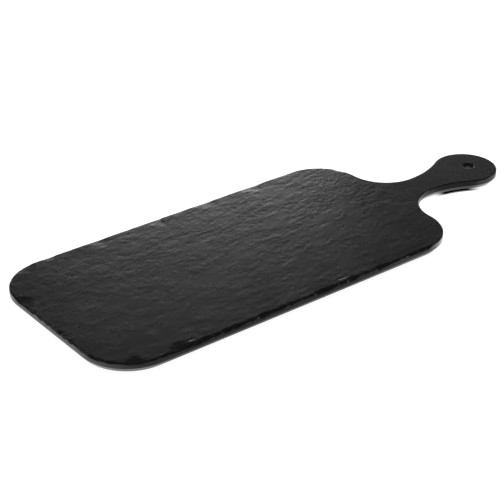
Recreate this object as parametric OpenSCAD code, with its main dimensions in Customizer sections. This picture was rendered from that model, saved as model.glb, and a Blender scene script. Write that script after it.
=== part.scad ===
// Slate-look melamine serving board: a paddle-shaped moulding with a grip and a hanging hole,
// standing on four push-in feet. Millimetres, +Z up, +X towards the grip. The origin is on the
// standing surface, under the middle of the board's length and width.

/* [Outline] */
// Overall length, front end to the tip of the head
board_l = 480; // [465:1:510]
// Overall width of the serving area
board_w = 182; // [174:1:196]
// Length of the serving area, front end to the shoulders
serving_l = 358; // [345:1:370]
// Corner radius at the front end
front_corner_r = 43; // [25:1:60]
// Radius of the shoulders
shoulder_r = 41; // [34:1:50]
// Width of the neck at its waist
neck_w = 28; // [24:1:36]
// Diameter of the round head of the grip
head_d = 58; // [48:1:66]

/* [Section] */
// Thickness of the moulding
board_t = 9; // [8:0.5:12]
// Radius of the top arris
top_edge_r = 1; // [0.5:0.1:1.5]
// How far the bevel under the edge runs in from the outline
bevel_run = 3; // [1.5:0.25:3.5]
// How far up the side that bevel comes
bevel_rise = 4; // [2:0.25:4.5]

/* [Hanging hole] */
// Diameter of the hanging hole
hole_d = 10; // [6:0.5:14]
// Distance from the tip of the head to the middle of the hole
hole_inset = 25; // [20:0.5:30]
// Radius of the rounded lips of the hole
hole_lip_r = 1; // [0.5:0.25:2.5]

/* [Underside] */
// Width of the rim round the hollow of the underside
rim_w = 14; // [10:1:20]
// Depth of the hollow, which is also the radius of the cove in its wall
hollow_depth = 2.5; // [1.5:0.25:3]

/* [Feet] */
// Height of the board's underside above the standing surface
foot_h = 1; // [0.75:0.25:4]
// Diameter of a foot
foot_d = 14; // [10:0.5:18]
// Radius of the foot's lower edge
foot_edge_r = 0.5; // [0.25:0.05:0.7]
// Diameter of the foot's plug
plug_d = 7; // [5:0.5:9]
// Length of the foot's plug
plug_l = 4; // [3:0.25:4.5]
// Play of the plug in its socket, on the radius and at its end
plug_play = 0.1; // [0.05:0.05:0.3]
// Wall of the boss beyond the foot
boss_wall = 3; // [2:0.5:5]
// Distance from the front end to the middle of the front feet
front_foot_inset = 46; // [40:1:60]
// Distance from the shoulders to the middle of the rear feet
rear_foot_inset = 44; // [40:1:60]
// Distance from the long edges to the middle of the feet
side_foot_inset = 40; // [34:1:50]

/* [Riven edge] */
// Number of flakes along each long edge
side_flakes = 9; // [4:1:12]
// Number of flakes across the front end
end_flakes = 3; // [2:1:5]
// Mean length of a flake along the edge
flake_l = 30; // [20:1:40]
// Mean bite of a flake into the top face
flake_bite = 3; // [1.5:0.25:4]
// Mean drop of a flake down the side
flake_drop = 1.5; // [0.75:0.25:2]

/* [Hidden] */
$fn = 96;
// Fineness of the wide scoops
scoop_fn = 360;
// Straight steps along each bend of a filled area
bend_steps = 12;

slate_black = "#2c2c2d";
rubber_black = "#1b1b1c";

// Overshoot of a cutter past the face that it starts from, and overlap of pieces that join
past = 1;
// How far the flanks of the neck run into the head
head_lap = 0.1;
// A straight shorter than this between two bends is left out
least_straight = 0.01;
// Reach of a flake's scoop each way along its slope
flake_reach = 20;
// Shares by which flakes stray along the edge, and differ in length, bite and drop
flake_stray = 0.3;
flake_l_spread = 0.35;
flake_bite_spread = 0.35;
flake_drop_spread = 0.3;
// Turn from one flake to the next, and from one row of values to the next, in the spread of flakes
golden_turn = 137.508;
row_turn = 61.8;
// First row of values for each chipped edge
left_row = 1;
right_row = 5;
end_row = 9;

half_w = board_w / 2;
neck_half = neck_w / 2;
head_r = head_d / 2;
front_x = -board_l / 2;
head_tip_x = board_l / 2;
shoulder_x = front_x + serving_l;
top_z = foot_h + board_t;

// Centres of the bends on the +Y half of the outline. The fillet fills what the shoulder leaves
// between the long edge and the neck, and the waist runs from there to the head.
front_c = [front_x + front_corner_r, half_w - front_corner_r];
shoulder_c = [shoulder_x - shoulder_r, half_w - shoulder_r];
fillet_r = shoulder_c.y - neck_half;
fillet_c = [shoulder_x + fillet_r, shoulder_c.y];
head_c = [head_tip_x - head_r, 0];
waist_run = head_c.x - fillet_c.x;
waist_end_r = head_r - head_lap;
waist_r = hundredths((waist_run ^ 2 + neck_half ^ 2 - waist_end_r ^ 2) / (2 * (waist_end_r - neck_half)));
waist_c = [fillet_c.x, neck_half + waist_r];
waist_turn = atan2(waist_run, waist_c.y);

// A bend is [centre, radius, first angle, last angle], and it bulges outwards when its angle grows.
// A run of bends goes round the +Y half to a bend of no radius on the middle line.
outline_run = [
    [waist_c, waist_r, 270 + waist_turn, 270],
    [fillet_c, fillet_r, 270, 180],
    [shoulder_c, shoulder_r, 0, 90],
    [front_c, front_corner_r, 90, 180],
    [[front_x, 0], 0, 180, 180],
];

// The hollow keeps the same rim all round the serving area
hollow_run = [
    [[shoulder_x - rim_w, 0], 0, 0, 0],
    [shoulder_c, shoulder_r - rim_w, 0, 90],
    [front_c, front_corner_r - rim_w, 90, 180],
    [[front_x + rim_w, 0], 0, 180, 180],
];

hole_at = [head_tip_x - hole_inset, 0];
boss_d = foot_d + 2 * boss_wall;
foot_x = [front_x + front_foot_inset, shoulder_x - rear_foot_inset];
foot_y = [half_w - side_foot_inset, -half_w + side_foot_inset];

function hundredths(x) = round(x * 100) / 100;

// Where foot i of the list stands: front pair first, the +Y one of each pair first
function foot_at(i) = [foot_x[floor(i / 2)], foot_y[i % 2]];

function bulges(bend) = bend[3] > bend[2];

// The point of a bend at an angle, drawn in from the outline by inset
function on_bend(bend, angle, inset = 0) =
    bend[0] + (bend[1] + (bulges(bend) ? -inset : inset)) * [cos(angle), sin(angle)];

// Points along a run, drawn in by inset
function run_points(run, inset) = [
    for (bend = run)
        if (bend[1] > 0)
            for (step = [0 : bend_steps])
                on_bend(bend, bend[2] + (bend[3] - bend[2]) * step / bend_steps, inset)
];

// A slow, even spread of values from -1 to 1 that never settles into a pattern
function spread(i, row) = sin(i * golden_turn + row * row_turn);

// Sweeps a profile along a run and the straights in it. The profile's x points outwards from the
// outline, and its y points up.
module sweep_run(run) {
    for (i = [0 : len(run) - 1]) {
        bend = run[i];
        if (bend[1] > 0)
            translate(bend[0])
                rotate(min(bend[2], bend[3]))
                    rotate_extrude(angle = abs(bend[3] - bend[2]))
                        translate([bend[1], 0])
                            mirror([bulges(bend) ? 0 : 1, 0])
                                children();
    }
    for (i = [1 : len(run) - 1]) {
        leaves = on_bend(run[i - 1], run[i - 1][3]);
        meets = on_bend(run[i], run[i][2]);
        straight = meets - leaves;
        if (norm(straight) > least_straight)
            translate(meets)
                rotate(atan2(straight.y, straight.x))
                    rotate([90, 0, -90])
                        linear_extrude(norm(straight))
                            children();
    }
}

// A solid with a swept edge all round: its middle, filled to within inset of the outline, and the
// edge on both halves
module moulded(run, inset, height) {
    half = run_points(run, inset);
    last = len(half) - 1;
    linear_extrude(height)
        polygon(concat(half, [for (i = [last : -1 : 0]) [half[i].x, -half[i].y]]));
    for (side = [0, 1])
        mirror([0, side, 0])
            sweep_run(run)
                children();
}

// Half section of the moulded edge, from inner out to outer: a bevel below, and a chamfer above that is
// filled out to a round
module edge_profile(inner, outer) {
    polygon([
        [inner, 0],
        [outer - bevel_run, 0],
        [outer, bevel_rise],
        [outer, board_t - top_edge_r],
        [outer - top_edge_r, board_t],
        [inner, board_t],
    ]);
    translate([outer - top_edge_r, board_t - top_edge_r])
        circle(top_edge_r);
}

// The paddle: serving area, shoulders and neck, with the round head on the end
module slab() {
    translate([0, 0, foot_h]) {
        moulded(outline_run, bevel_run + past, board_t)
            edge_profile(-2 * bevel_run - past, 0);
        translate(head_c)
            rotate_extrude()
                edge_profile(0, head_r);
    }
}

// Half section of the hollow: a quarter-round cove, with an overshoot below the rim
module cove_profile() {
    below = hollow_depth + past;
    depth = 2 * hollow_depth + past;
    polygon([
        [-depth, 0],
        [0, 0],
        [0, below],
        [-hollow_depth, below + hollow_depth],
        [-depth, below + hollow_depth],
    ]);
    translate([-hollow_depth, below])
        circle(hollow_depth);
}

// The space that is taken out of the underside
module hollow() {
    below = hollow_depth + past;
    translate([0, 0, foot_h - below])
        moulded(hollow_run, hollow_depth + past, below + hollow_depth)
            cove_profile();
}

// Round seats for the feet, flush with the rim
module foot_bosses() {
    for (i = [0 : 3])
        translate([foot_at(i).x, foot_at(i).y, foot_h])
            cylinder(d1 = boss_d, d2 = boss_d + hollow_depth, h = hollow_depth + past);
}

// Blind sockets for the plugs of the feet
module foot_sockets() {
    for (i = [0 : 3])
        translate([foot_at(i).x, foot_at(i).y, foot_h - past])
            cylinder(d = plug_d + 2 * plug_play, h = past + plug_l + plug_play);
}

// Takes the hole's place out of the head, lips included
module hole_clearance() {
    translate([hole_at.x, hole_at.y, foot_h - past])
        cylinder(r = hole_d / 2 + 2 * hole_lip_r + past, h = board_t + 2 * past);
}

// Half section of the hole's wall: chamfers at both ends that are filled out to rounds
module lip_profile(depth) {
    polygon([
        [-depth, 0],
        [-hole_lip_r, 0],
        [0, hole_lip_r],
        [0, board_t - hole_lip_r],
        [-hole_lip_r, board_t],
        [-depth, board_t],
    ]);
    for (height = [hole_lip_r, board_t - hole_lip_r])
        translate([-hole_lip_r, height])
            circle(hole_lip_r);
}

// The wall of the hanging hole with its rounded lips
module hole_wall() {
    translate([hole_at.x, hole_at.y, foot_h])
        rotate_extrude()
            translate([hole_d / 2, 0])
                mirror([1, 0])
                    lip_profile(2 * hole_lip_r + past);
}

// One scooped flake out of the top arris. The arris runs along X through the origin, and the board
// lies on its -Y side. The scoop runs straight down the slope and is round along the arris.
module flake(length, bite, drop) {
    slope = atan2(drop, bite);
    depth = bite * sin(slope);
    scoop_r = ((length / 2) ^ 2 + depth ^ 2) / (2 * depth);
    translate([0, -bite, 0])
        rotate([90 - slope, 0, 0])
            translate([0, scoop_r, -flake_reach])
                cylinder(r = scoop_r, h = 2 * flake_reach, $fn = scoop_fn);
}

// A row of flakes along the +X direction from the origin, each a little different
module flake_row(run, count, row) {
    pitch = run / count;
    for (i = [0 : count - 1])
        translate([pitch * (i + 0.5 + flake_stray * spread(i, row)), 0, 0])
            flake(
                flake_l * (1 + flake_l_spread * spread(i, row + 1)),
                flake_bite * (1 + flake_bite_spread * spread(i, row + 2)),
                flake_drop * (1 + flake_drop_spread * spread(i, row + 3))
            );
}

// The chipped arris along both sides and the front end
module riven_edge() {
    side_run = shoulder_c.x - front_c.x;
    end_run = 2 * front_c.y;
    translate([front_c.x, half_w, top_z])
        flake_row(side_run, side_flakes, left_row);
    translate([shoulder_c.x, -half_w, top_z])
        rotate(180)
            flake_row(side_run, side_flakes, right_row);
    translate([front_x, -front_c.y, top_z])
        rotate(90)
            flake_row(end_run, end_flakes, end_row);
}

module tray_moulding() {
    color(slate_black)
        difference() {
            union() {
                difference() {
                    slab();
                    hollow();
                    hole_clearance();
                }
                foot_bosses();
                hole_wall();
            }
            foot_sockets();
            riven_edge();
        }
}

// A foot with its plug up the middle and its lower edge rounded
module foot(i) {
    color(rubber_black)
        translate([foot_at(i).x, foot_at(i).y, 0])
            rotate_extrude() {
                polygon([
                    [0, 0],
                    [foot_d / 2 - foot_edge_r, 0],
                    [foot_d / 2, foot_edge_r],
                    [foot_d / 2, foot_h],
                    [plug_d / 2, foot_h],
                    [plug_d / 2, foot_h + plug_l],
                    [0, foot_h + plug_l],
                ]);
                translate([foot_d / 2 - foot_edge_r, foot_edge_r])
                    circle(foot_edge_r);
            }
}

tray_moulding();
for (i = [0 : 3])
    foot(i);
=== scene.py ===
"""Looks of the slate-look melamine serving board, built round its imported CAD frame.

The moulding is remade as one fine mesh with its riven top and chipped arrises, the push-in feet keep
their CAD shape and get a rubber finish, and a plain white studio stands round them.
"""

import logging
import math
import random
from dataclasses import dataclass, field
from enum import Enum
from typing import Any, Iterable, Sequence

import bmesh
import bpy
from mathutils import Matrix, Vector, noise


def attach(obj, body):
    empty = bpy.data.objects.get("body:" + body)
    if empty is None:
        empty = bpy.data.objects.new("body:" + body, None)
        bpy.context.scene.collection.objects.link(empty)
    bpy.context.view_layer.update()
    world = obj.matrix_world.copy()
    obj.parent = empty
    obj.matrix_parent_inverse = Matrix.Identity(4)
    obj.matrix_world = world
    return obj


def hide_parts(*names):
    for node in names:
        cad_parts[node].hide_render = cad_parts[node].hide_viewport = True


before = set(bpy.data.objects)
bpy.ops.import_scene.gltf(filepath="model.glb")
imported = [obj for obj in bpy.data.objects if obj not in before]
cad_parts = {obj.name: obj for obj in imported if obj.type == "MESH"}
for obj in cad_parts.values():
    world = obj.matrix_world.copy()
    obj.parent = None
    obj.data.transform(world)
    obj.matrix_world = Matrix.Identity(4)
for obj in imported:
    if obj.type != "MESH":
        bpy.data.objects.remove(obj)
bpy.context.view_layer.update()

log = logging.getLogger("serving_board")

Point = tuple[float, float, float]

MM = 0.001
BODY = "root"
UP: Point = (0.0, 0.0, 1.0)
ACROSS: Point = (0.0, 1.0, 0.0)
NOWHERE: Point = (0.0, 0.0, 0.0)
QUARTER = math.pi / 2
# Vertices closer than this are one vertex
WELD = 0.002 * MM
# Folds sharper than this keep a crisp edge in the shading
CRISP_FOLD = math.radians(35)


class Piece(Enum):
    """Names of the pieces and of the CAD nodes that they stand for."""

    MOULDING = "tray_moulding"
    FOOT_FRONT_LEFT = "foot_front_left"
    FOOT_FRONT_RIGHT = "foot_front_right"
    FOOT_REAR_LEFT = "foot_rear_left"
    FOOT_REAR_RIGHT = "foot_rear_right"


class Slot(Enum):
    """Names of the material slots."""

    MELAMINE = "melamine"
    RUBBER = "foot_rubber"


FEET = (Piece.FOOT_FRONT_LEFT, Piece.FOOT_FRONT_RIGHT, Piece.FOOT_REAR_LEFT, Piece.FOOT_REAR_RIGHT)


def linear(hex_colour: str) -> tuple[float, float, float, float]:
    """Turns an sRGB hex colour into the linear colour that a shader takes.

    Args:
        hex_colour: Colour as "#rrggbb".

    Returns:
        Linear red, green and blue, with an alpha of 1.
    """
    shares = [int(hex_colour[i : i + 2], 16) / 255 for i in (1, 3, 5)]
    red, green, blue = (s / 12.92 if s <= 0.04045 else ((s + 0.055) / 1.055) ** 2.4 for s in shares)
    return red, green, blue, 1.0


def per_metre(size_mm: float) -> float:
    """Gives the texture scale whose features are about size_mm across."""
    return 1.0 / (size_mm * MM)


def add_node(tree: bpy.types.NodeTree, kind: str, settings: dict[str, Any], **inputs: Any) -> bpy.types.Node:
    """Adds a node, with its settings, its socket values and its links.

    Args:
        tree: Node tree that gets the node.
        kind: Blender's name of the node type.
        settings: Attributes of the node.
        **inputs: Socket names, with _ for a space, and a value or an output socket for each.

    Returns:
        The new node.
    """
    node = tree.nodes.new(kind)
    for name, value in settings.items():
        setattr(node, name, value)
    for name, value in inputs.items():
        socket = node.inputs[int(name[1:]) if name[1:].isdigit() else name.replace("_", " ")]
        if isinstance(value, bpy.types.NodeSocket):
            tree.links.new(value, socket)
        else:
            socket.default_value = value
    return node


def blank_material(name: str) -> bpy.types.Material:
    """Makes a material with an empty node tree."""
    material = bpy.data.materials.new(name)
    material.use_nodes = True
    material.node_tree.nodes.clear()
    return material


def combine(
    tree: bpy.types.NodeTree,
    operation: str,
    first: bpy.types.NodeSocket,
    second: bpy.types.NodeSocket | float,
) -> bpy.types.NodeSocket:
    """Adds one arithmetic node.

    Args:
        tree: Node tree that takes the node.
        operation: Name of the operation.
        first: Socket with the first value.
        second: Socket with the second value, or the value.

    Returns:
        The socket with the result.
    """
    return add_node(tree, "ShaderNodeMath", {"operation": operation}, _0=first, _1=second).outputs[0]


def add_noise(
    tree: bpy.types.NodeTree,
    place: bpy.types.NodeSocket,
    size_mm: float,
    detail: float,
    crisp: float,
) -> bpy.types.NodeSocket:
    """Adds a cloud noise.

    Args:
        tree: Node tree that takes the noise.
        place: Socket with the place that it is read at.
        size_mm: Size of its largest features, in millimetres.
        detail: Number of finer layers.
        crisp: Share of each layer that the next finer one has.

    Returns:
        The socket with the noise.
    """
    return add_node(
        tree,
        "ShaderNodeTexNoise",
        {},
        Vector=place,
        Scale=per_metre(size_mm),
        Detail=detail,
        Roughness=crisp,
    ).outputs["Fac"]


def mix_colours(
    tree: bpy.types.NodeTree, share: bpy.types.NodeSocket, first: str, second: str
) -> bpy.types.NodeSocket:
    """Mixes two colours.

    Args:
        tree: Node tree that takes the mix.
        share: Socket with the share of the second colour.
        first: Hex colour at a share of 0.
        second: Hex colour at a share of 1.

    Returns:
        The socket with the colour.
    """
    return add_node(
        tree, "ShaderNodeMix", {"data_type": "RGBA"}, _0=share, _6=linear(first), _7=linear(second)
    ).outputs[2]


@dataclass(frozen=True)
class MelamineFinish:
    """Black melamine, compression-moulded in a satin tool.

    The pigment is nearly black, so the eye sees mostly the satin sheen of the resin skin, which is
    a little uneven from one patch to the next, over a fine grain that the tool left.
    """

    name: str = "black_compression_moulded_melamine"
    deep: str = "#0f0f10"
    worn: str = "#171718"
    ior: float = 1.6
    roughness_low: float = 0.25
    roughness_high: float = 0.29
    patch_mm: float = 22.0
    patch_detail: float = 4.0
    patch_crisp: float = 0.6
    # Range of the patch noise over which the sheen changes
    patch_low: float = 0.2
    patch_high: float = 0.8
    # The tool's grain is about 0.2 mm, too fine to show, so it is drawn coarser
    grain_mm: float = 0.9
    grain_detail: float = 2.0
    grain_crisp: float = 0.55
    grain_depth_mm: float = 0.03
    grain_strength: float = 0.25

    def make(self) -> bpy.types.Material:
        """Builds the material.

        Returns:
            The melamine material.
        """
        material = blank_material(self.name)
        tree = material.node_tree
        place = add_node(tree, "ShaderNodeTexCoord", {}).outputs["Object"]
        patches = add_noise(tree, place, self.patch_mm, self.patch_detail, self.patch_crisp)
        grain = add_noise(tree, place, self.grain_mm, self.grain_detail, self.grain_crisp)
        colour = mix_colours(tree, patches, self.deep, self.worn)
        sheen = add_node(
            tree,
            "ShaderNodeMapRange",
            {},
            Value=patches,
            From_Min=self.patch_low,
            From_Max=self.patch_high,
            To_Min=self.roughness_low,
            To_Max=self.roughness_high,
        ).outputs["Result"]
        bump = add_node(
            tree,
            "ShaderNodeBump",
            {},
            Height=grain,
            Strength=self.grain_strength,
            Distance=self.grain_depth_mm * MM,
        ).outputs["Normal"]
        skin = add_node(
            tree,
            "ShaderNodeBsdfPrincipled",
            {},
            Base_Color=colour,
            Roughness=sheen,
            IOR=self.ior,
            Normal=bump,
        ).outputs["BSDF"]
        add_node(tree, "ShaderNodeOutputMaterial", {}, Surface=skin)
        return material


@dataclass(frozen=True)
class SiliconeFinish:
    """Black silicone rubber, press-moulded: matt, with a soft bloom of dust and a fine pebble."""

    name: str = "black_press_moulded_silicone"
    clean: str = "#171718"
    dusty: str = "#2a2a2b"
    ior: float = 1.43
    roughness: float = 0.75
    bloom_mm: float = 3.0
    bloom_detail: float = 3.0
    bloom_crisp: float = 0.5
    pebble_mm: float = 0.4
    pebble_depth_mm: float = 0.03
    pebble_strength: float = 0.4

    def make(self) -> bpy.types.Material:
        """Builds the material.

        Returns:
            The silicone material.
        """
        material = blank_material(self.name)
        tree = material.node_tree
        place = add_node(tree, "ShaderNodeTexCoord", {}).outputs["Object"]
        bloom = add_noise(tree, place, self.bloom_mm, self.bloom_detail, self.bloom_crisp)
        pebble = add_node(
            tree, "ShaderNodeTexVoronoi", {}, Vector=place, Scale=per_metre(self.pebble_mm)
        ).outputs["Distance"]
        colour = mix_colours(tree, bloom, self.clean, self.dusty)
        bump = add_node(
            tree,
            "ShaderNodeBump",
            {},
            Height=pebble,
            Strength=self.pebble_strength,
            Distance=self.pebble_depth_mm * MM,
        ).outputs["Normal"]
        skin = add_node(
            tree,
            "ShaderNodeBsdfPrincipled",
            {},
            Base_Color=colour,
            Roughness=self.roughness,
            IOR=self.ior,
            Normal=bump,
        ).outputs["BSDF"]
        add_node(tree, "ShaderNodeOutputMaterial", {}, Surface=skin)
        return material


@dataclass(frozen=True)
class PaperFinish:
    """White studio paper, unprinted.

    It takes the shadow, has painted shade under the grip, shows the black gloss a painted reflection, and is
    open from below.
    """

    name: str = "white_studio_paper"
    colour: str = "#b0b0b0"
    glow: float = 0.96
    # Painted reflection: glossy rays see the paper glow bright at the left and behind, fall off to the
    # front, brighten towards the right, and show a painted pool of light by the right shoulder
    gloss_dim: float = 0.42
    gloss_bright: float = 1.15
    fall_way: Point = (-0.5, 1.0, 0.0)
    dim_at: float = -10 * MM
    bright_at: float = 70 * MM
    right_gain: float = 0.4
    right_at: float = 110 * MM
    pool_gain: float = 1.2
    pool_at: Point = (0.130, -0.075, 0.0)
    pool_core: float = 20 * MM
    pool_edge: float = 60 * MM
    # The bevel mirrors a painted bright reflection of the paper under the board, at the front corner and at
    # the grip alone
    corner_from: float = -180 * MM
    corner_to: float = -212 * MM
    # Stretch of the grip where shade is painted on the paper and in its reflection, the gloss left there,
    # and how far up the paper looks for what covers it
    shade_from: float = 160 * MM
    shade_to: float = 207 * MM
    shade_ends: float = 13 * MM
    shaded_gloss: float = 0.36
    sky_reach: float = 6 * MM
    sky_samples: int = 16
    # Open shares of the sky: where the bevel starts to mirror the painted bright reflection under the board
    # and where it does so in full, and where the painted shadow slit is black and where it ends
    bevel_open: float = 0.7
    bevel_under: float = 0.35
    slit_black: float = 0.42
    slit_end: float = 0.7

    def make(self) -> bpy.types.Material:
        """Builds the material.

        Returns:
            The paper material.
        """
        material = blank_material(self.name)
        tree = material.node_tree
        rays = add_node(tree, "ShaderNodeLightPath", {}).outputs
        seen = combine(tree, "MAXIMUM", rays["Is Camera Ray"], rays["Is Transmission Ray"])
        glow = combine(tree, "MULTIPLY", seen, self.glow)
        paper = add_node(tree, "ShaderNodeBsdfDiffuse", {}, Color=linear(self.colour)).outputs["BSDF"]
        light = add_node(tree, "ShaderNodeEmission", {}, Strength=glow).outputs["Emission"]
        lit = add_node(tree, "ShaderNodeAddShader", {}, _0=paper, _1=light).outputs["Shader"]
        shown = add_node(tree, "ShaderNodeMixShader", {}, _0=self.open_share(tree), _2=lit).outputs["Shader"]
        # Painted reflection: glossy rays see an emission graded by place, not the paper's lit colour
        painted_gloss = self.painted_reflection_level(tree)
        mirrored = add_node(tree, "ShaderNodeEmission", {}, Strength=painted_gloss).outputs["Emission"]
        both = add_node(
            tree, "ShaderNodeMixShader", {}, _0=rays["Is Glossy Ray"], _1=shown, _2=mirrored
        ).outputs["Shader"]
        below = add_node(tree, "ShaderNodeNewGeometry", {}).outputs["Backfacing"]
        clear = add_node(tree, "ShaderNodeBsdfTransparent", {}).outputs["BSDF"]
        sided = add_node(tree, "ShaderNodeMixShader", {}, _0=below, _1=both, _2=clear).outputs["Shader"]
        add_node(tree, "ShaderNodeOutputMaterial", {}, Surface=sided)
        return material

    def painted_reflection_level(self, tree: bpy.types.NodeTree) -> bpy.types.NodeSocket:
        """Grades the painted reflection, a glow that only glossy rays see, over the paper.

        Args:
            tree: Node tree of the paper.

        Returns:
            The socket with the glow.
        """
        place = add_node(tree, "ShaderNodeTexCoord", {}).outputs["Object"]
        along = self.along(tree)
        ahead = add_node(
            tree, "ShaderNodeVectorMath", {"operation": "DOT_PRODUCT"}, _0=place, _1=self.fall_way
        ).outputs["Value"]
        away = add_node(
            tree, "ShaderNodeVectorMath", {"operation": "DISTANCE"}, _0=place, _1=self.pool_at
        ).outputs["Value"]
        ends = combine(
            tree,
            "MAXIMUM",
            self.ramp(tree, along, self.corner_from, self.corner_to),
            self.ramp(tree, along, self.right_at, self.shade_from),
        )
        # Painted reflection: bright where the board covers the paper, at the front corner and at the grip
        covered = self.ramp(tree, self.open_sky(tree), self.bevel_open, self.bevel_under)
        under = combine(tree, "MULTIPLY", covered, ends)
        left = self.ramp(tree, ahead, self.dim_at, self.bright_at)
        share = combine(tree, "MAXIMUM", left, under)
        level = self.spread(tree, share, self.gloss_dim, self.gloss_bright)
        right = combine(tree, "MULTIPLY", self.ramp(tree, along, 0.0, self.right_at), self.right_gain)
        pool = combine(
            tree, "MULTIPLY", self.ramp(tree, away, self.pool_edge, self.pool_core), self.pool_gain
        )
        level = combine(tree, "ADD", level, combine(tree, "ADD", right, pool))
        # Painted shade: the reflection dims along the grip
        return combine(tree, "MULTIPLY", level, self.spread(tree, self.shaded(tree), 1.0, self.shaded_gloss))

    def along(self, tree: bpy.types.NodeTree) -> bpy.types.NodeSocket:
        """Gives the place along the board."""
        place = add_node(tree, "ShaderNodeTexCoord", {}).outputs["Object"]
        return add_node(tree, "ShaderNodeSeparateXYZ", {}, Vector=place).outputs["X"]

    def shaded(self, tree: bpy.types.NodeTree) -> bpy.types.NodeSocket:
        """Gives 1 along the stretch of the grip that shades the paper, and 0 elsewhere.

        Args:
            tree: Node tree of the paper.

        Returns:
            The socket with the share.
        """
        along = self.along(tree)
        return combine(
            tree,
            "MULTIPLY",
            self.ramp(tree, along, self.shade_from, self.shade_from + self.shade_ends),
            self.ramp(tree, along, self.shade_to, self.shade_to - self.shade_ends),
        )

    def spread(
        self, tree: bpy.types.NodeTree, share: bpy.types.NodeSocket, low: float, high: float
    ) -> bpy.types.NodeSocket:
        """Adds a value that runs from low to high with a share.

        Args:
            tree: Node tree of the paper.
            share: Socket with the share.
            low: Value at a share of 0.
            high: Value at a share of 1.

        Returns:
            The socket with the value.
        """
        return add_node(
            tree, "ShaderNodeMapRange", {}, Value=share, To_Min=low, To_Max=high
        ).outputs["Result"]

    def ramp(
        self, tree: bpy.types.NodeTree, value: bpy.types.NodeSocket, low: float, high: float
    ) -> bpy.types.NodeSocket:
        """Adds a smooth step from 0 at low to 1 at high.

        Args:
            tree: Node tree of the paper.
            value: Socket that the step follows.
            low: Value at which it starts.
            high: Value at which it ends.

        Returns:
            The socket with the step.
        """
        smooth = {"interpolation_type": "SMOOTHSTEP"}
        return add_node(
            tree, "ShaderNodeMapRange", smooth, Value=value, From_Min=low, From_Max=high
        ).outputs["Result"]

    def open_sky(self, tree: bpy.types.NodeTree) -> bpy.types.NodeSocket:
        """Gives the share of the sky close over the paper that the board leaves open."""
        samples = {"samples": self.sky_samples}
        return add_node(tree, "ShaderNodeAmbientOcclusion", samples, Distance=self.sky_reach).outputs["AO"]

    def open_share(self, tree: bpy.types.NodeTree) -> bpy.types.NodeSocket:
        """Gives the share of the paper's light that is left where the grip shades it.

        Args:
            tree: Node tree of the paper.

        Returns:
            The socket with the share, which is 1 away from the grip.
        """
        # Painted shadow: the paper darkens by its occlusion only along the grip, which makes the black slit
        light = self.ramp(tree, self.open_sky(tree), self.slit_black, self.slit_end)
        return add_node(tree, "ShaderNodeMix", {}, _0=self.shaded(tree), _2=1.0, _3=light).outputs[0]


@dataclass(frozen=True)
class Stroke:
    """One stretch of a swept line: a bend about a centre, or a straight along travel."""

    steps: int
    centre: Point = NOWHERE
    axis: Point = UP
    turn: float = 0.0
    travel: Point = NOWHERE


def sweep(bm: bmesh.types.BMesh, geom: list, strokes: Iterable[Stroke]) -> list:
    """Draws a vertex or a chain of edges along strokes, leaving edges or faces behind it.

    Args:
        bm: Mesh that is drawn in.
        geom: What is drawn along.
        strokes: Stretches to follow, in order.

    Returns:
        The geometry at the end of the last stroke.
    """
    for stroke in strokes:
        step = Vector(stroke.travel) / stroke.steps
        geom = bmesh.ops.spin(
            bm,
            geom=geom,
            cent=stroke.centre,
            axis=stroke.axis,
            dvec=step,
            angle=stroke.turn,
            steps=stroke.steps,
            use_merge=False,
            use_duplicate=False,
        )["geom_last"]
    return geom


def draw_chain(bm: bmesh.types.BMesh, start: Point, strokes: Iterable[Stroke]) -> list:
    """Draws a chain of edges from a start point.

    Args:
        bm: Mesh that gets the chain.
        start: First point of the chain.
        strokes: Stretches of the chain, in order.

    Returns:
        The chain's vertices and edges.
    """
    old = set(bm.verts)
    first = bmesh.ops.create_vert(bm, co=start)["vert"]
    sweep(bm, first, strokes)
    verts = [v for v in bm.verts if v not in old]
    edges = dict.fromkeys(e for v in verts for e in v.link_edges)
    return verts + list(edges)


def steps_for(length: float, pitch: float) -> int:
    """Gives the whole number of steps of about pitch along a length."""
    return max(1, round(abs(length) / pitch))


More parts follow.
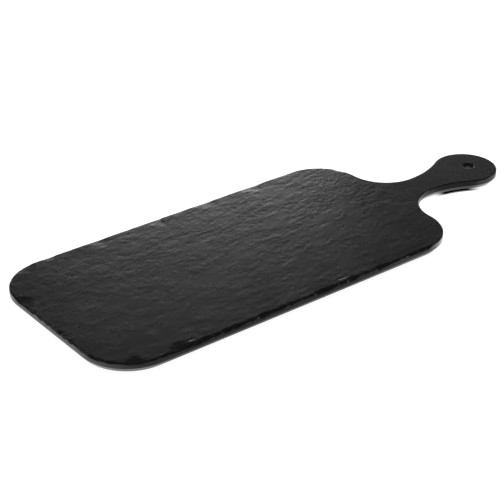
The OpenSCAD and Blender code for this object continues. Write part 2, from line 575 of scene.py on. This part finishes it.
@dataclass
class BoardOutline:
    """The paddle's outline: its sizes in metres, and its run round the +Y half."""

    length: float = 480 * MM
    width: float = 182 * MM
    serving: float = 358 * MM
    front_corner_r: float = 43 * MM
    shoulder_r: float = 41 * MM
    neck_width: float = 28 * MM
    head_r: float = 29 * MM
    # Spacing of the mesh along the chipped edges and along the smooth grip
    edge_pitch: float = 1.2 * MM
    grip_pitch: float = 1.7 * MM

    def __post_init__(self) -> None:
        """Works out the centres of the bends from the sizes."""
        self.front_x = -self.length / 2
        self.tip_x = self.length / 2
        self.half = self.width / 2
        self.neck_half = self.neck_width / 2
        self.shoulder_x = self.front_x + self.serving
        self.front_c = (self.front_x + self.front_corner_r, self.half - self.front_corner_r, 0.0)
        self.shoulder_c = (self.shoulder_x - self.shoulder_r, self.half - self.shoulder_r, 0.0)
        self.fillet_r = self.shoulder_c[1] - self.neck_half
        self.fillet_c = (self.shoulder_x + self.fillet_r, self.shoulder_c[1], 0.0)
        self.head_c = (self.tip_x - self.head_r, 0.0, 0.0)
        run = self.head_c[0] - self.fillet_c[0]
        rise = self.head_r - self.neck_half
        self.waist_r = (run**2 + self.neck_half**2 - self.head_r**2) / (2 * rise)
        self.waist_c = (self.fillet_c[0], self.neck_half + self.waist_r, 0.0)
        self.waist_turn = math.atan2(run, self.waist_c[1])

    def bend(self, centre: Point, radius: float, turn: float, pitch: float) -> Stroke:
        """Makes a bend of the outline, with steps of about pitch."""
        return Stroke(steps_for(radius * turn, pitch), centre=centre, turn=turn)

    def straight(self, travel: Point) -> Stroke:
        """Makes a straight of the outline."""
        return Stroke(steps_for(Vector(travel).length, self.edge_pitch), travel=travel)

    def half_run(self) -> list[Stroke]:
        """Gives the run from the tip of the head round the +Y side to the middle of the front end."""
        return [
            self.bend(self.head_c, self.head_r, QUARTER + self.waist_turn, self.grip_pitch),
            self.bend(self.waist_c, self.waist_r, -self.waist_turn, self.grip_pitch),
            self.bend(self.fillet_c, self.fillet_r, -QUARTER, self.grip_pitch),
            self.bend(self.shoulder_c, self.shoulder_r, QUARTER, self.edge_pitch),
            self.straight((self.front_c[0] - self.shoulder_c[0], 0.0, 0.0)),
            self.bend(self.front_c, self.front_corner_r, QUARTER, self.edge_pitch),
            self.straight((0.0, -self.front_c[1], 0.0)),
        ]

    def hollow_run(self, pitch: float) -> list[Stroke]:
        """Gives the run round the +Y half of the serving area alone.

        Args:
            pitch: Spacing of the mesh along the bends.

        Returns:
            The strokes from the middle of the rear to the middle of the front end.
        """
        return [
            Stroke(1, travel=(0.0, self.shoulder_c[1], 0.0)),
            self.bend(self.shoulder_c, self.shoulder_r, QUARTER, pitch),
            Stroke(1, travel=(self.front_c[0] - self.shoulder_c[0], 0.0, 0.0)),
            self.bend(self.front_c, self.front_corner_r, QUARTER, pitch),
            Stroke(1, travel=(0.0, -self.front_c[1], 0.0)),
        ]

    def edge_place(self, x: float, y: float) -> tuple[float, float]:
        """Gives a point's place round the edge of the serving area.

        Args:
            x: Place along the board.
            y: Place across the board.

        Returns:
            The run round the outline from the middle of the front end, which counts down on the -Y
            side, and the distance in from the edge.
        """
        side = abs(y)
        corner = self.front_c[1] + QUARTER * self.front_corner_r
        if x > self.shoulder_c[0]:
            dx, dy = x - self.shoulder_c[0], max(side - self.shoulder_c[1], 0.0)
            run = corner + self.shoulder_c[0] - self.front_c[0] + self.shoulder_r * math.atan2(dx, dy)
            inside = self.shoulder_r - math.hypot(dx, dy)
        elif x > self.front_c[0]:
            run, inside = corner + x - self.front_c[0], self.half - side
        elif side > self.front_c[1]:
            dx, dy = self.front_c[0] - x, side - self.front_c[1]
            run = self.front_c[1] + self.front_corner_r * math.atan2(dy, dx)
            inside = self.front_corner_r - math.hypot(dx, dy)
        else:
            run, inside = side, x - self.front_x
        return math.copysign(run, y), inside


def smooth_share(value: float, low: float, high: float) -> float:
    """Gives 0 below low, 1 above high, and an even S-curve between them."""
    share = min(1.0, max(0.0, (value - low) / (high - low)))
    return share * share * (3 - 2 * share)


@dataclass(frozen=True)
class Ripple:
    """A family of short cleavage steps: their spacing and length, depth, and direction in plan."""

    across_mm: float
    along_mm: float
    depth_mm: float
    turn_deg: float
    seed: float


@dataclass(frozen=True)
class Dent:
    """A long shallow nick in the top face: its place, half length and half width, and depth."""

    x_mm: float
    y_mm: float
    half_mm: float
    wide_mm: float
    depth_mm: float

    def depth(self, px: float, py: float) -> float:
        """Gives the nick's depth at a point.

        Args:
            px: Place along the board, in millimetres.
            py: Place across the board, in millimetres.

        Returns:
            Depth in millimetres, 0 outside the nick.
        """
        reach = ((px - self.x_mm) / self.half_mm) ** 2 + ((py - self.y_mm) / self.wide_mm) ** 2
        return self.depth_mm * (1 - reach) if reach < 1 else 0.0


@dataclass
class RivenRelief:
    """The split-slate relief of the serving area, as a height over the flat face."""

    swell_mm: float = 0.07
    swell_size_mm: float = 45.0
    warp_mm: float = 1.5
    warp_size_mm: float = 14.0
    warp_seed: float = 7.0
    # Size of the patches of stronger and weaker steps, their mean strength, and how far it varies
    patch_size_mm: float = 24.0
    patch_mean: float = 0.9
    patch_spread: float = 0.35
    # Range of the noise over which a cleavage step rises
    step_low: float = -0.32
    step_high: float = 0.40
    ripples: Sequence[Ripple] = (
        Ripple(2.4, 5.5, 0.038, 30.0, 3.1),
        Ripple(2.9, 6.0, 0.034, 4.0, 17.7),
        Ripple(2.1, 4.2, 0.044, 58.0, 41.3),
        Ripple(4.6, 11.0, 0.030, 22.0, 63.9),
        Ripple(2.8, 18.0, 0.024, 9.0, 88.1),
        Ripple(8.0, 17.0, 0.072, 8.0, 105.3),
    )
    dents: Sequence[Dent] = (
        Dent(-167.0, -85.0, 6.0, 1.7, 0.22),
        Dent(-15.0, -85.0, 6.0, 1.7, 0.17),
    )
    # Along the board, where the relief starts to fade and where the grip is smooth
    fade_from: float = 100 * MM
    fade_to: float = 185 * MM
    faded_share: float = 0.1

    def height(self, x: float, y: float) -> float:
        """Gives the relief's height at a point of the top face.

        Args:
            x: Place along the board, in metres.
            y: Place across the board, in metres.

        Returns:
            Height over the flat face, in metres.
        """
        px, py = x / MM, y / MM
        warp = noise.noise_vector(Vector((px, py, self.warp_seed)) / self.warp_size_mm) * self.warp_mm
        total = self.swell_mm * noise.noise(Vector((px, py, 0.0)) / self.swell_size_mm)
        for ripple in self.ripples:
            patch = noise.noise(Vector((px, py, ripple.seed)) / self.patch_size_mm)
            strength = self.patch_mean + self.patch_spread * patch
            total += self.step_height(ripple, px + warp.x, py + warp.y) * strength
        total -= sum(dent.depth(px, py) for dent in self.dents)
        fade = 1 - (1 - self.faded_share) * smooth_share(x, self.fade_from, self.fade_to)
        return total * fade * MM

    def step_height(self, ripple: Ripple, wx: float, wy: float) -> float:
        """Gives the height of one family of cleavage steps.

        Args:
            ripple: Family of steps.
            wx: Warped place along the board, in millimetres.
            wy: Warped place across the board, in millimetres.

        Returns:
            Height in millimetres.
        """
        turn = math.radians(ripple.turn_deg)
        along = wx * math.cos(turn) + wy * math.sin(turn)
        across = -wx * math.sin(turn) + wy * math.cos(turn)
        level = noise.noise(Vector((along / ripple.along_mm, across / ripple.across_mm, ripple.seed)))
        return ripple.depth_mm * (smooth_share(level, self.step_low, self.step_high) - 0.5)


@dataclass(frozen=True)
class Flake:
    """One chip in the top arris, in millimetres.

    Its place runs round the outline from the middle of the front end, up along the +Y side. The chip
    slopes evenly down to the edge, where it is deepest.
    """

    at_mm: float
    back_mm: float
    ahead_mm: float
    bite_mm: float
    drop_mm: float

    def depth(self, run_mm: float, inside_mm: float) -> float:
        """Gives how far the chip lowers the face at a point.

        Args:
            run_mm: Place round the outline.
            inside_mm: Distance from the edge.

        Returns:
            Depth in millimetres, 0 outside the chip.
        """
        along = run_mm - self.at_mm
        reach = along / (self.ahead_mm if along > 0 else self.back_mm)
        share = 1 - reach * reach - max(inside_mm, 0.0) / self.bite_mm
        return self.drop_mm * max(share, 0.0)


@dataclass(frozen=True)
class FlakeRow:
    """A row of chips along a stretch of the outline, each a little different."""

    start_mm: float
    stop_mm: float
    count: int
    length_mm: float
    bite_mm: float
    drop_mm: float
    seed: int
    spread: float = 0.4
    lean: float = 0.35
    stray: float = 0.35

    def flakes(self) -> list[Flake]:
        """Makes the chips of the row.

        Returns:
            The chips, in order along the edge.
        """
        draw = random.Random(self.seed)
        pitch = (self.stop_mm - self.start_mm) / self.count
        made = []
        for i in range(self.count):
            place = self.start_mm + pitch * (i + 0.5 + self.stray * draw.uniform(-1, 1))
            half = 0.5 * self.length_mm * (1 + self.spread * draw.uniform(-1, 1))
            lean = self.lean * draw.uniform(-1, 1)
            size = 1 + self.spread * draw.uniform(-1, 1)
            made.append(
                Flake(place, half * (1 - lean), half * (1 + lean), self.bite_mm * size, self.drop_mm * size)
            )
        return made


@dataclass
class TrayMoulding:
    """The one-piece melamine moulding: edge band, riven top, hanging hole and hollow underside."""

    outline: BoardOutline = field(default_factory=BoardOutline)
    relief: RivenRelief = field(default_factory=RivenRelief)
    finish: MelamineFinish = field(default_factory=MelamineFinish)
    thickness: float = 9 * MM
    stand_off: float = 1 * MM
    arris_r: float = 1 * MM
    bevel_run: float = 3 * MM
    bevel_rise: float = 4 * MM
    # Width of the swept band along the top and the bottom edge, and spacing of its rings
    band: float = 6 * MM
    ring_pitch: float = 0.5 * MM
    # Spacing of the mesh on the top face, on the plain underside and round the hollow
    top_pitch: float = 1.05 * MM
    under_pitch: float = 12 * MM
    hollow_pitch: float = 3 * MM
    # Steps of the mesh over each bend and wall of the sections, and round the hole and a boss
    arris_steps: int = 4
    wall_steps: int = 3
    lip_steps: int = 6
    bore_steps: int = 4
    cove_steps: int = 5
    flat_steps: int = 2
    half_hole_steps: int = 30
    boss_steps: int = 40
    hole_inset: float = 25 * MM
    hole_r: float = 5 * MM
    lip_r: float = 1 * MM
    lip_flat: float = 1.5 * MM
    rim: float = 14 * MM
    hollow_depth: float = 2.5 * MM
    boss_r: float = 10 * MM
    boss_flare: float = 0.9 * MM
    socket_r: float = 3.6 * MM
    socket_depth: float = 4.1 * MM
    # Width of the flat rings that keep the shading of the plain underside even
    keeper: float = 2 * MM
    front_foot_inset: float = 46 * MM
    rear_foot_inset: float = 44 * MM
    side_foot_inset: float = 40 * MM
    # How far noise moves the rim of a chip, and the size of that noise
    ragged_mm: float = 1.9
    ragged_size_mm: float = 5.5
    # Seed of the vector noise that warps the relief and the rims of the chips
    noise_seed: int = 5
    deepest_bite: float = 18 * MM
    # Rows of small chips: near edge, near corner, front end, far corner and far edge
    flake_rows: Sequence[FlakeRow] = (
        FlakeRow(-392.0, -112.0, 24, 24.0, 2.2, 1.8, 11, spread=0.5),
        FlakeRow(-116.0, -46.0, 6, 26.0, 1.4, 1.2, 29, spread=0.25),
        FlakeRow(-48.0, 48.0, 9, 24.0, 1.2, 1.3, 37, spread=0.3),
        FlakeRow(46.0, 112.0, 5, 24.0, 1.6, 0.5, 43),
        FlakeRow(112.0, 392.0, 16, 28.0, 2.2, 0.1, 23),
    )
    # Single broad chips: at the front end and its near corner, then along the far edge
    broad_flakes: Sequence[Flake] = (
        Flake(-133.0, 14.0, 12.0, 10.0, 1.3),
        Flake(-94.0, 8.0, 8.0, 10.0, 1.3),
        Flake(-16.0, 4.0, 4.0, 6.0, 1.0),
        Flake(44.0, 16.0, 7.0, 12.0, 1.4),
        Flake(102.0, 11.0, 14.0, 11.0, 0.5),
        Flake(129.0, 8.0, 8.0, 6.0, 0.4),
        Flake(177.0, 12.0, 10.0, 14.0, 0.35),
        Flake(238.5, 14.0, 4.0, 13.0, 0.35),
        Flake(241.0, 3.0, 1.5, 4.0, 0.55),
        Flake(294.5, 20.0, 4.0, 13.0, 0.35),
        Flake(297.0, 4.0, 1.5, 4.0, 0.55),
        Flake(345.0, 18.0, 4.0, 13.0, 0.35),
        Flake(347.5, 4.0, 1.5, 4.0, 0.55),
        Flake(438.0, 8.0, 8.0, 4.0, 0.6),
    )

    @property
    def top(self) -> float:
        """Height of the top face."""
        return self.stand_off + self.thickness

    @property
    def hole_x(self) -> float:
        """Place of the hanging hole along the board."""
        return self.outline.tip_x - self.hole_inset

    def edge_profile(self) -> tuple[Point, list[Stroke]]:
        """Gives the section of the edge at the tip of the head, from the top face to the underside.

        Returns:
            Its first point, and the strokes from there.
        """
        tip = self.outline.tip_x
        flat = self.band - self.arris_r
        under_flat = self.band - self.bevel_run
        wall = self.thickness - self.arris_r - self.bevel_rise
        arris_c = (tip - self.arris_r, 0.0, self.top - self.arris_r)
        return (tip - self.band, 0.0, self.top), [
            Stroke(steps_for(flat, self.ring_pitch), travel=(flat, 0.0, 0.0)),
            Stroke(self.arris_steps, centre=arris_c, axis=ACROSS, turn=QUARTER),
            Stroke(self.wall_steps, travel=(0.0, 0.0, -wall)),
            Stroke(self.wall_steps, travel=(-self.bevel_run, 0.0, -self.bevel_rise)),
            Stroke(self.flat_steps, travel=(-under_flat, 0.0, 0.0)),
        ]

    def hole_profile(self) -> tuple[Point, list[Stroke]]:
        """Gives the section of the hanging hole on its +X side, from the top face to the underside.

        Returns:
            Its first point, and the strokes from there.
        """
        wall_x = self.hole_x + self.hole_r
        lip_x = wall_x + self.lip_r
        upper = (lip_x, 0.0, self.top - self.lip_r)
        lower = (lip_x, 0.0, self.stand_off + self.lip_r)
        return (lip_x + self.lip_flat, 0.0, self.top), [
            Stroke(self.flat_steps, travel=(-self.lip_flat, 0.0, 0.0)),
            Stroke(self.lip_steps, centre=upper, axis=ACROSS, turn=-QUARTER),
            Stroke(self.bore_steps, travel=(0.0, 0.0, 2 * self.lip_r - self.thickness)),
            Stroke(self.lip_steps, centre=lower, axis=ACROSS, turn=-QUARTER),
            Stroke(self.flat_steps, travel=(self.lip_flat, 0.0, 0.0)),
        ]

    def hollow_profile(self) -> tuple[Point, list[Stroke]]:
        """Gives the section of the hollow's wall at the middle of the rear, from the rim upwards.

        Returns:
            Its first point, and the strokes from there.
        """
        edge = self.outline.shoulder_x - self.rim
        cove_c = (edge - self.hollow_depth, 0.0, self.stand_off)
        return (edge + self.keeper, 0.0, self.stand_off), [
            Stroke(1, travel=(-self.keeper, 0.0, 0.0)),
            Stroke(self.cove_steps, centre=cove_c, axis=ACROSS, turn=-QUARTER),
            Stroke(1, travel=(-self.keeper, 0.0, 0.0)),
        ]

    def boss_profile(self, x: float, y: float) -> tuple[Point, list[Stroke]]:
        """Gives the section of a foot's boss, from the hollow's ceiling to the end of its socket.

        Args:
            x: Place of the boss along the board.
            y: Place of the boss across the board.

        Returns:
            Its first point, and the strokes from there.
        """
        flare = self.boss_r + self.boss_flare
        return (x + flare + self.keeper, y, self.stand_off + self.hollow_depth), [
            Stroke(1, travel=(-self.keeper, 0.0, 0.0)),
            Stroke(1, travel=(-self.boss_flare, 0.0, -self.hollow_depth)),
            Stroke(self.flat_steps, travel=(self.socket_r - self.boss_r, 0.0, 0.0)),
            Stroke(1, travel=(0.0, 0.0, self.socket_depth)),
            Stroke(1, travel=(-self.socket_r, 0.0, 0.0)),
        ]

    def rim_chain(self, bm: bmesh.types.BMesh, height: float) -> list:
        """Finds the open edges of the swept bands at a height, off the middle line.

        Args:
            bm: Half of the moulding.
            height: Height of the edges.

        Returns:
            The edges.
        """
        found = []
        for edge in bm.edges:
            a, b = (v.co for v in edge.verts)
            level = abs(a.z - height) < WELD and abs(b.z - height) < WELD
            off_middle = max(abs(a.y), abs(b.y)) > WELD
            if edge.is_boundary and level and off_middle:
                found.append(edge)
        return found

    def close_on_middle(self, bm: bmesh.types.BMesh, chain: list) -> list:
        """Joins the loose ends of edge chains two by two along the middle line.

        Args:
            bm: Half of the moulding.
            chain: Edges of the chains.

        Returns:
            The chains' edges and the new ones, which make closed loops.
        """
        members = set(chain)
        verts = dict.fromkeys(v for e in chain for v in e.verts)
        ends = [v for v in verts if sum(e in members for e in v.link_edges) == 1]
        ends.sort(key=lambda v: v.co.x)
        joins = [bm.edges.new(pair) for pair in zip(ends[::2], ends[1::2])]
        return chain + joins

    def cut_grid(self, bm: bmesh.types.BMesh, faces: list, pitch: float) -> None:
        """Cuts flat faces into a square grid.

        Args:
            bm: Mesh that holds the faces.
            faces: Faces to cut.
            pitch: Spacing of the cuts.
        """
        for axis in (0, 1):
            normal = Vector((axis == 0, axis == 1, 0.0))
            spans = [v.co[axis] for f in faces for v in f.verts]
            low, high = min(spans), max(spans)
            count = steps_for(high - low, pitch)
            waiting, done = list(faces), []
            for i in range(1, count):
                place = low + (high - low) * i / count
                cut = [f for f in waiting if min(v.co[axis] for v in f.verts) < place]
                later = [f for f in waiting if min(v.co[axis] for v in f.verts) >= place]
                geom = list(dict.fromkeys(e for f in cut for e in (*f.verts, *f.edges))) + cut
                made = bmesh.ops.bisect_plane(
                    bm, geom=geom, dist=WELD, plane_co=normal * place, plane_no=normal
                )["geom"]
                parts = [g for g in made if isinstance(g, bmesh.types.BMFace)]
                done += [f for f in parts if f.calc_center_median()[axis] < place]
                waiting = later + [f for f in parts if f.calc_center_median()[axis] >= place]
            faces = done + waiting

    def foot_places(self) -> list[tuple[float, float]]:
        """Gives the places of the two feet on the +Y half."""
        y = self.outline.half - self.side_foot_inset
        return [
            (self.outline.front_x + self.front_foot_inset, y),
            (self.outline.shoulder_x - self.rear_foot_inset, y),
        ]

    def half_mesh(self) -> bmesh.types.BMesh:
        """Models the +Y half of the moulding with a flat top.

        Returns:
            The half, open on the middle line.
        """
        bm = bmesh.new()
        for x, y in self.foot_places():
            boss = draw_chain(bm, *self.boss_profile(x, y))
            sweep(bm, boss, [Stroke(self.boss_steps, centre=(x, y, 0.0), turn=2 * math.pi)])
        bmesh.ops.remove_doubles(bm, verts=bm.verts, dist=WELD)
        around_hole = Stroke(self.half_hole_steps, centre=(self.hole_x, 0.0, 0.0), turn=math.pi)
        sweep(bm, draw_chain(bm, *self.hole_profile()), [around_hole])
        sweep(bm, draw_chain(bm, *self.hollow_profile()), self.outline.hollow_run(self.hollow_pitch))
        sweep(bm, draw_chain(bm, *self.edge_profile()), self.outline.half_run())

        loop = self.close_on_middle(bm, self.rim_chain(bm, self.stand_off + self.hollow_depth))
        bmesh.ops.triangle_fill(bm, edges=loop, use_beauty=True)
        loop = self.close_on_middle(bm, self.rim_chain(bm, self.stand_off))
        self.cut_grid(bm, bmesh.ops.edgeloop_fill(bm, edges=loop)["faces"], self.under_pitch)
        loop = self.close_on_middle(bm, self.rim_chain(bm, self.top))
        self.cut_grid(bm, bmesh.ops.edgeloop_fill(bm, edges=loop)["faces"], self.top_pitch)
        return bm

    def flakes(self) -> list[Flake]:
        """Gives every chip of the top arris."""
        return [flake for row in self.flake_rows for flake in row.flakes()] + list(self.broad_flakes)

    def chip_depth(self, flakes: Sequence[Flake], x: float, y: float) -> float:
        """Gives how far the chips lower the face at a point.

        Args:
            flakes: Every chip.
            x: Place along the board, in metres.
            y: Place across the board, in metres.

        Returns:
            Depth in metres.
        """
        run, inside = self.outline.edge_place(x, y)
        if inside > self.deepest_bite:
            return 0.0
        at = Vector((x, y, 0.0)) / (self.ragged_size_mm * MM)
        stray = noise.noise_vector(at) * self.ragged_mm
        return max(f.depth(run / MM + stray.x, inside / MM + stray.y) for f in flakes) * MM

    def weather(self, bm: bmesh.types.BMesh) -> None:
        """Moves the top into its riven relief and knocks the chips out of its arris.

        Args:
            bm: The whole moulding with a flat top.
        """
        noise.seed_set(self.noise_seed)
        flakes = self.flakes()
        wall_low = self.stand_off + self.bevel_rise
        wall_high = self.top - self.arris_r
        lip = self.hole_r + self.lip_r + self.lip_flat
        for vert in bm.verts:
            x, y, z = vert.co
            if z <= wall_low + WELD or math.hypot(x - self.hole_x, y) < lip + WELD:
                continue
            share = min(1.0, (z - wall_low) / (wall_high - wall_low))
            vert.co.z = z + share * (self.relief.height(x, y) - self.chip_depth(flakes, x, y))

    def build(self) -> bpy.types.Object:
        """Models the moulding and dresses it.

        Returns:
            The finished piece.
        """
        bm = self.half_mesh()
        bmesh.ops.mirror(bm, geom=bm.verts[:] + bm.edges[:] + bm.faces[:], axis="Y", merge_dist=WELD)
        bmesh.ops.remove_doubles(bm, verts=bm.verts, dist=WELD)
        self.weather(bm)
        bmesh.ops.recalc_face_normals(bm, faces=bm.faces)
        mesh = bpy.data.meshes.new(Piece.MOULDING.value)
        for face in bm.faces:
            face.smooth = True
        open_edges = sum(not e.is_manifold for e in bm.edges)
        triangles = sum(len(f.verts) - 2 for f in bm.faces)
        bm.to_mesh(mesh)
        bm.free()
        mesh.set_sharp_from_angle(angle=CRISP_FOLD)
        mesh.materials.append(self.finish.make())
        piece = bpy.data.objects.new("riven_board", mesh)
        bpy.context.scene.collection.objects.link(piece)
        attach(piece, BODY)
        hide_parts(Piece.MOULDING.value)
        log.info("%s: %d triangles, %d open edges", piece.name, triangles, open_edges)
        return piece


@dataclass
class PushInFeet:
    """The four push-in feet, whose CAD shape stays."""

    finish: SiliconeFinish = field(default_factory=SiliconeFinish)

    def dress(self) -> None:
        """Gives the feet their rubber finish."""
        rubber = self.finish.make()
        for foot in FEET:
            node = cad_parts[foot.value]
            node.data.materials.clear()
            node.data.materials.append(rubber)
            log.info("%s: rubber finish", foot.value)


@dataclass(frozen=True)
class Softbox:
    """A rectangular soft light: its place, size and brightness, and whether gloss mirrors it."""

    name: str
    place: Point
    width: float
    height: float
    power: float
    mirrored: bool = True

    def hang(self, target: Point) -> None:
        """Makes the light and aims it.

        Args:
            target: Point that it faces.
        """
        lamp = bpy.data.lights.new(self.name, "AREA")
        lamp.shape = "RECTANGLE"
        lamp.size = self.width
        lamp.size_y = self.height
        lamp.energy = self.power
        light = bpy.data.objects.new(self.name, lamp)
        light.location = self.place
        light.visible_glossy = self.mirrored
        light.rotation_euler = (Vector(target) - Vector(self.place)).to_track_quat("-Z", "Y").to_euler()
        bpy.context.scene.collection.objects.link(light)


@dataclass
class Studio:
    """Floor, lights and camera."""

    paper: PaperFinish = field(default_factory=PaperFinish)
    floor_half: float = 6.0
    air: float = 0.04
    softboxes: Sequence[Softbox] = (
        Softbox("key_softbox", (0.10, 0.25, 1.60), 0.8, 0.8, 26.0, mirrored=False),
        Softbox("back_softbox", (0.835, 1.34, 0.42), 0.6, 0.4, 1.95),
        Softbox("backdrop_strip", (0.97, 1.24, 0.25), 2.4, 0.4, 3.3),
        Softbox("right_strip", (1.37, -0.72, 0.32), 0.25, 0.3, 1.6),
        Softbox("front_fill", (-1.10, -1.15, 0.50), 1.6, 0.5, 1.0),
        Softbox("left_fill", (-1.25, 0.85, 0.60), 1.2, 0.6, 1.2),
    )
    # Camera from the fit of the outline: place, heading and climb, and focal length
    eye: Point = (-732.46 * MM, -882.29 * MM, 629.24 * MM)
    heading_deg: float = -38.02
    climb_deg: float = 29.004
    lens_mm: float = 109.77
    sensor_mm: float = 36.0
    nearest: float = 0.05
    farthest: float = 50.0

    def lay_floor(self) -> None:
        """Lays the white paper under the board."""
        bm = bmesh.new()
        bmesh.ops.create_grid(bm, x_segments=1, y_segments=1, size=self.floor_half)
        mesh = bpy.data.meshes.new("paper_floor")
        bm.to_mesh(mesh)
        bm.free()
        mesh.materials.append(self.paper.make())
        floor = bpy.data.objects.new("paper_floor", mesh)
        bpy.context.scene.collection.objects.link(floor)

    def light(self) -> None:
        """Hangs the soft lights and sets the dim air of the room."""
        for box in self.softboxes:
            box.hang(NOWHERE)
        world = bpy.data.worlds.new("studio_air")
        world.use_nodes = True
        tree = world.node_tree
        tree.nodes.clear()
        seen = add_node(tree, "ShaderNodeLightPath", {}).outputs["Is Camera Ray"]
        glow = combine(tree, "MAXIMUM", seen, self.air)
        air = add_node(tree, "ShaderNodeBackground", {}, Strength=glow).outputs["Background"]
        add_node(tree, "ShaderNodeOutputWorld", {}, Surface=air)
        bpy.context.scene.world = world

    def aim_camera(self) -> None:
        """Sets up the camera at the photograph's place and angle."""
        heading, climb = math.radians(self.heading_deg), math.radians(self.climb_deg)
        back = Vector(
            (math.sin(heading) * math.cos(climb), -math.cos(heading) * math.cos(climb), math.sin(climb))
        )
        right = Vector((math.cos(heading), math.sin(heading), 0.0))
        lens = bpy.data.cameras.new("camera")
        lens.sensor_width = self.sensor_mm
        lens.lens = self.lens_mm
        lens.clip_start = self.nearest
        lens.clip_end = self.farthest
        camera = bpy.data.objects.new("camera", lens)
        turn = Matrix((right, back.cross(right), back)).transposed()
        camera.matrix_world = Matrix.Translation(self.eye) @ turn.to_4x4()
        bpy.context.scene.collection.objects.link(camera)
        bpy.context.scene.camera = camera

    def build(self) -> None:
        """Builds the studio."""
        self.lay_floor()
        self.light()
        self.aim_camera()
        bpy.context.scene.view_settings.view_transform = "Standard"


def main() -> None:
    """Builds the board and its studio in order."""
    logging.basicConfig(level=logging.INFO, format="%(name)s: %(message)s")
    Studio().build()
    TrayMoulding().build()
    PushInFeet().dress()


if __name__ == "__main__":
    main()
